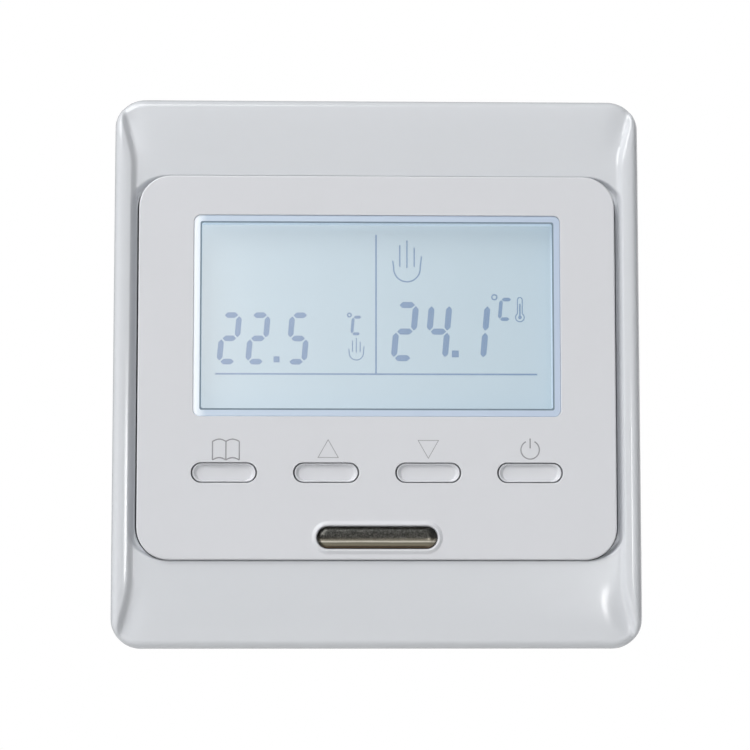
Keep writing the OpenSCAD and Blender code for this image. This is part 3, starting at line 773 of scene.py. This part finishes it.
def make_key(number):
    """Dished cap with a soft rim, its retaining rim and its stem."""
    key = KEYS[number]
    low, high = key_boxes[number]
    x, z = key_places[number]
    front, rim_front = low.y, face_y + cover_plate + 0.1 * MM
    rim_back = rim_front + 0.8 * MM
    edge, edge_steps = 0.1 * MM, 4
    dish, dish_steps, slope_x, slope_z = 0.5 * MM, 8, 0.68 * MM, 0.12 * MM
    half_w = key_half_w - key_gap / 2

    def cap_ring(inset_x, inset_z, y):
        return level(pill(half_w - inset_x, key_half_h - inset_z, 14, (x, z)), y)

    rings = [cap_ring(0, 0, rim_front + 0.1 * MM)]
    for step in range(edge_steps + 1):
        angle = math.pi / 2 * step / edge_steps
        inset = edge * (1 - math.cos(angle))
        rings.append(cap_ring(inset, inset, front + edge * (1 - math.sin(angle))))
    for step in range(1, dish_steps + 1):
        part = step / dish_steps
        rings.append(cap_ring(edge + slope_x * part, edge + slope_z * part,
                              front + dish * ramp(0, 1, part)))
    cap = smooth(loft("cap", rings), 50)
    rim_outline = pill(key_half_w + key_rim, key_half_h + key_rim, 14, (x, z))
    rim = smooth(loft("rim", [level(rim_outline, y) for y in (rim_front, rim_back)]))
    let_go()
    bpy.ops.mesh.primitive_cylinder_add(vertices=32, radius=1.4 * MM, depth=high.y - rim_back,
                                        location=(x, (high.y + rim_back) / 2, z),
                                        rotation=(math.pi / 2, 0, 0))
    stem = smooth(settle(bpy.context.object))
    piece = join("key_" + key, [cap, rim, stem])
    finish_piece(piece, "key_" + key, key_matt, key + "_key", ["button_" + key])


def make_trim_bar():
    """Polished bar with a rounded face, seated in its pocket."""
    half_w, half_h = (bar_high.x - bar_low.x) / 2, (bar_high.z - bar_low.z) / 2
    face_steps, face_round, sunk = 12, 0.75 * MM, 0.15 * MM
    rings = [level(pill(half_w, half_h, 16, bar_place), bar_low.y + bar_depth)]
    for step in range(face_steps + 1):
        part = step / face_steps
        inset = half_h * 0.98 * part
        sag = face_round * (1 - math.sqrt(1 - (1 - part) ** 2))
        rings.append(level(pill(half_w - inset, half_h - inset, 16, bar_place), bar_low.y + sunk + sag))
    piece = smooth(loft("bar", rings), 60)
    finish_piece(piece, "trim_bar_polished", trim_metal(), stands_for=["trim_bar"])


# ---------------------------------------------------------------- printed symbols and display

def make_cover_symbols():
    """Open book, triangles and power ring, printed above the keys; drawn in millimetres."""
    rise, nudge = 3.85 * MM, 0.3 * MM
    width, depth = 0.2 * MM, 0.04 * MM

    def place(number, points):
        x, z = key_places[number]
        aside = nudge if number < 2 else 0
        return [(x + aside + px * MM, z + rise + pz * MM) for px, pz in points]

    page, book_high, page_steps = 2.17, 3.0, 8
    tops = []
    for step in range(page_steps + 1):
        part = step / page_steps
        tops.append((-page * part, 1.15 + 0.42 * math.sin(math.pi * (part * 0.93 + 0.04))))
    book = []
    for side in (1, -1):
        book.append([(side * x, z) for x, z in tops])
        book.append([(side * x, z - book_high) for x, z in tops])
        book.append([(side * -page, tops[-1][1]), (side * -page, tops[-1][1] - book_high)])
    book.append([(0, tops[0][1]), (0, tops[0][1] - book_high)])
    triangle = [(-1.65, -1.4), (1.65, -1.4), (0, 1.5), (-1.65, -1.4)]
    ring = arc(0, -0.1, 1.5, 118, 422, 28)
    symbols = {"menu": book, "up": [triangle], "down": [[(x, -z) for x, z in triangle]],
               "power": [ring, [(0, 1.75), (0, 0.15)]]}
    for number, key in enumerate(KEYS):
        paths = [place(number, path) for path in symbols[key]]
        piece = stroke("symbol_" + key, paths, width, depth, face_y)
        finish_piece(piece, "symbol_" + key, symbol_grey)


SEGMENTS = {"1": "bc", "2": "abged", "4": "fgbc", "5": "afgcd", "C": "ald"}
SLANT = math.radians(5)


def segment_bar(length, thick, depth):
    """A flat bar along X with pointed ends."""
    piece = box("segment", (-(length - thick) / 2, 0, -thick / 2), ((length - thick) / 2, depth, thick / 2))
    for side in (-1, 1):
        take(piece)
        bpy.ops.object.mode_set(mode="EDIT")
        bpy.context.tool_settings.mesh_select_mode = (False, False, True)
        bpy.ops.mesh.select_all(action="DESELECT")
        shape = bmesh.from_edit_mesh(piece.data)
        for face in shape.faces:
            face.select = face.normal.x * side > 0.9
        bmesh.update_edit_mesh(piece.data)
        bpy.ops.mesh.extrude_region_move(TRANSFORM_OT_translate={"value": (side * thick / 2, 0, 0)})
        bpy.ops.transform.resize(value=(1, 1, 0.1))
        bpy.ops.object.mode_set(mode="OBJECT")
    return piece


def copied(piece, matrix):
    """A copy of the piece with a mesh of its own, moved by the matrix."""
    twin = piece.copy()
    twin.data = piece.data.copy()
    bpy.context.scene.collection.objects.link(twin)
    twin.data.transform(matrix)
    return twin


def make_display():
    """The screen's digits and signs, placed in millimetres from its middle."""
    depth = 0.03 * MM
    y = glass_low.y - depth
    middle = (glass_low.z + glass_high.z) / 2
    lean = Matrix(((1, 0, math.tan(SLANT), 0), (0, 1, 0, 0), (0, 0, 1, 0), (0, 0, 0, 1)))
    stand = Matrix.Rotation(math.pi / 2, 4, "Y")
    pieces = []

    def digit(text, x, z, width, height, thick):
        """A digit whose lower left corner is at x, z."""
        gap = 0.42 if thick > 0.8 else 0.2  # between neighbouring segments
        across, up = (width - thick) * MM, (height - thick) / 2 * MM
        flat = segment_bar(across - gap * MM, thick * MM, depth)
        upright = segment_bar(up - gap * MM, thick * MM, depth)
        tall = segment_bar(2 * up - gap * MM, thick * MM, depth)
        spots = {"a": (0, 2 * up, flat), "g": (0, up, flat), "d": (0, 0, flat),
                 "f": (-across / 2, 1.5 * up, upright), "b": (across / 2, 1.5 * up, upright),
                 "e": (-across / 2, 0.5 * up, upright), "c": (across / 2, 0.5 * up, upright),
                 "l": (-across / 2, up, tall)}
        corner = Matrix.Translation(((x + width / 2) * MM, y, (z + thick / 2) * MM + middle))
        for letter in SEGMENTS[text]:
            dx, dz, bar = spots[letter]
            turn = Matrix.Identity(4) if bar is flat else stand
            pieces.append(copied(bar, corner @ lean @ Matrix.Translation((dx, 0, dz)) @ turn))
        for bar in (flat, upright, tall):
            bpy.data.objects.remove(bar)

    def dot(x, z, size):
        pieces.append(round_box("dot", (x * MM, y, middle + z * MM),
                                ((x + size) * MM, y + depth, middle + (z + size) * MM), depth / 3))

    for text, x in (("2", -26.3), ("2", -21.6), ("5", -15.0)):
        digit(text, x, -7.75, 3.5, 8.6, 0.92)
    for text, x in (("2", 2.3), ("4", 7.8), ("1", 14.1)):
        digit(text, x, -7.15, 3.9, 9.8, 1.0)
    digit("C", -4.35, -2.9, 1.9, 3.25, 0.5)
    digit("C", 19.95, -0.45, 2.3, 3.85, 0.6)
    dot(-16.95, -7.4, 1.0)
    dot(12.35, -6.5, 1.15)
    ink = segment_ink()
    finish_piece(join("segments", pieces), "display_digits", ink)

    def drawn(name, paths, width):
        piece = stroke(name, [[(px * MM, pz * MM + middle) for px, pz in path] for path in paths],
                       width * MM, depth, y + depth / 2)
        finish_piece(piece, name, ink)

    drawn("display_rules", [[(-0.12, 13.8), (-0.12, -9.2)], [(-26.5, -9.3), (26.4, -9.3)]], 0.28)
    drawn("display_degrees", [arc(-4.5, 0.45, 0.3, 0, 360), arc(19.4, 3.5, 0.42, 0, 360)], 0.24)

    def hand(x, z, size):
        """An open palm: three straight fingers in a rounded outline."""
        def at(px, pz):
            return x + px * size, z + pz * size
        palm = [at(px, pz) for px, pz in [(-2.35, 0.05)] + arc(0, -1.25, 2.2, 175, 365) + [(2.4, 0.8)]]
        return [palm] + [[at(px, foot), at(px, top)] for px, foot, top in
                         ((-1.18, -0.95, 2.65), (0, -1.15, 3.45), (1.2, -0.95, 2.25))]

    drawn("display_hand_large", hand(4.98, 9.45, 1.0), 0.24)
    drawn("display_hand_small", hand(-3.36, -5.15, 0.53), 0.18)
    bulb = arc(23.6, 0.15, 0.72, 125, 415, 18)
    tube = [(23.2, 0.75), (23.2, 3.05)] + arc(23.6, 3.05, 0.4, 180, 0, 8) + [(24.0, 0.75)]
    drawn("display_thermometer", [bulb, tube], 0.18)
    core = [[(23.6, 0.15), (23.6, 2.4)], arc(23.6, 0.15, 0.18, 0, 360, 12)]
    drawn("display_thermometer_core", core, 0.26)


# ---------------------------------------------------------------- behind the cover

def softened(node, name, width, material):
    """Stands for a CAD node: a copy of its shape with the sharp edges broken."""
    piece = bpy.data.objects.new(name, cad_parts[node].data.copy())
    bpy.context.scene.collection.objects.link(piece)
    take(piece)
    bpy.ops.object.mode_set(mode="EDIT")
    bpy.ops.mesh.select_all(action="SELECT")
    bpy.ops.mesh.remove_doubles(threshold=MM / 1000)
    bpy.ops.mesh.dissolve_limited(angle_limit=math.radians(1))
    bpy.ops.object.mode_set(mode="OBJECT")
    apply_modifier(piece, "BEVEL", width=width, segments=2, limit_method="ANGLE",
                   angle_limit=math.radians(40))
    smooth(piece)
    finish_piece(piece, name, material, stands_for=[node])


def make_back():
    """Housing, yoke, terminals and the parts seen through the vents."""
    softened("rear_housing", "housing_moulding", 0.35 * MM, housing_matt)
    softened("mounting_yoke", "yoke_plate", 0.12 * MM, zinc)
    softened("terminal_block", "terminal_moulding", 0.12 * MM,
             plastic("terminal_green", (0.09, 0.36, 0.16), 0.4, 0.3 * MM, 0.01 * MM))
    softened("terminal_screws", "terminal_screws_plated", 0.08 * MM, screw_steel)
    softened("yoke_screws", "yoke_screws_plated", 0.08 * MM, screw_steel)
    softened("relay", "relay_case", 0.5 * MM,
             plastic("relay_blue", (0.01, 0.07, 0.3), 0.3, 0.4 * MM, 0.01 * MM))
    softened("film_capacitor", "film_capacitor_case", 0.4 * MM,
             plastic("capacitor_yellow", (0.7, 0.42, 0.02), 0.35, 0.4 * MM, 0.01 * MM))
    softened("push_switches", "push_switch_cases", 0.2 * MM, zinc)


def make_insides():
    """The CAD pieces whose shape stays as it is get their finishes."""
    for key in KEYS:
        CAD_FINISHES["plunger_" + key] = black_moulding
    for node, material in CAD_FINISHES.items():
        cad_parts[node].data.materials.clear()
        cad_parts[node].data.materials.append(material)


# ---------------------------------------------------------------- studio

TARGET = Vector((-0.22 * MM, -6 * MM, -0.82 * MM))
CAMERA_AWAY = 0.396
CAMERA_TURN, CAMERA_LIFT = math.radians(-1.5), math.radians(-5.4)
CAMERA_LENS = 115
ROOM_LIGHT = 0.11
FLOOR_DROP, FLOOR_SIZE, FLOOR_SHEEN = 0.25, 3, 0.9


def facing(direction):
    """The turn that makes a camera or a light look along the direction."""
    return direction.to_track_quat("-Z", "Y").to_euler()


def make_camera():
    """A long lens in front, slightly below and to the left."""
    away = Vector((math.sin(CAMERA_TURN) * math.cos(CAMERA_LIFT),
                   -math.cos(CAMERA_TURN) * math.cos(CAMERA_LIFT), math.sin(CAMERA_LIFT)))
    let_go()
    bpy.ops.object.camera_add(location=TARGET + away * CAMERA_AWAY)
    camera = bpy.context.object
    camera.rotation_euler = facing(-away)
    camera.data.lens = CAMERA_LENS
    bpy.context.scene.camera = camera


def soft_light(name, place, size, power):
    """A wide lamp aimed at the thermostat."""
    let_go()
    bpy.ops.object.light_add(type="AREA", location=place)
    light = bpy.context.object
    light.name = name
    light.data.shape = "RECTANGLE"
    light.data.size, light.data.size_y = size
    light.data.energy = power
    light.rotation_euler = facing(TARGET - Vector(place))


def make_room():
    """Dim even light from all round, and plain white behind the object."""
    world = bpy.data.worlds.new("studio")
    bpy.context.scene.world = world
    world.use_nodes = True
    nodes, links = world.node_tree.nodes, world.node_tree.links
    nodes.clear()
    out = nodes.new("ShaderNodeOutputWorld")
    mix = nodes.new("ShaderNodeMixShader")
    path = nodes.new("ShaderNodeLightPath")
    room, backdrop = nodes.new("ShaderNodeBackground"), nodes.new("ShaderNodeBackground")
    room.inputs["Color"].default_value = (0.97, 0.985, 1.0, 1)
    room.inputs["Strength"].default_value = ROOM_LIGHT
    backdrop.inputs["Color"].default_value = (1, 1, 1, 1)
    links.new(path.outputs["Is Camera Ray"], mix.inputs[0])
    links.new(room.outputs[0], mix.inputs[1])
    links.new(backdrop.outputs[0], mix.inputs[2])
    links.new(mix.outputs[0], out.inputs[0])


def make_floor():
    """Pale floor, made nearly as bright as the backdrop where it is seen directly."""
    let_go()
    bpy.ops.mesh.primitive_plane_add(size=FLOOR_SIZE, location=(0, 0, -FLOOR_DROP))
    floor = named(bpy.context.object, "floor")
    finish = Finish("floor_pale", Roughness=0.7)
    finish.set(Base_Color=finish.blend(finish.noise(0.5), rgb((0.86, 0.86, 0.86)), rgb((0.84, 0.84, 0.84))))
    seen = finish.node("LightPath")
    lit = Wire(finish, finish.shader.outputs["BSDF"])
    pale = finish.node("Emission", None, {"Strength": 1.0})
    mixed = finish.node("MixShader", None, {0: seen * FLOOR_SHEEN, 1: lit, 2: pale})
    finish.feed(finish.tree.nodes["Material Output"].inputs["Surface"], mixed)
    floor.data.materials.append(finish.material)


def make_studio():
    """Camera, lamps, room light and floor."""
    bpy.context.scene.view_settings.view_transform = "Standard"
    make_camera()
    soft_light("key_light", (-0.85, -1.05, 1.2), (1.5, 1.5), 33.0)
    soft_light("side_light", (0.25, -1.06, 0.0), (0.08, 0.16), 0.7)
    soft_light("back_light", (0.8, 1.0, 0.3), (1.2, 1.2), 5.0)
    make_room()
    make_floor()


make_frame()
make_cover()
make_lens()
for key_number in range(len(KEYS)):
    make_key(key_number)
make_trim_bar()
make_cover_symbols()
make_display()
make_back()
make_insides()
make_studio()
let_go()
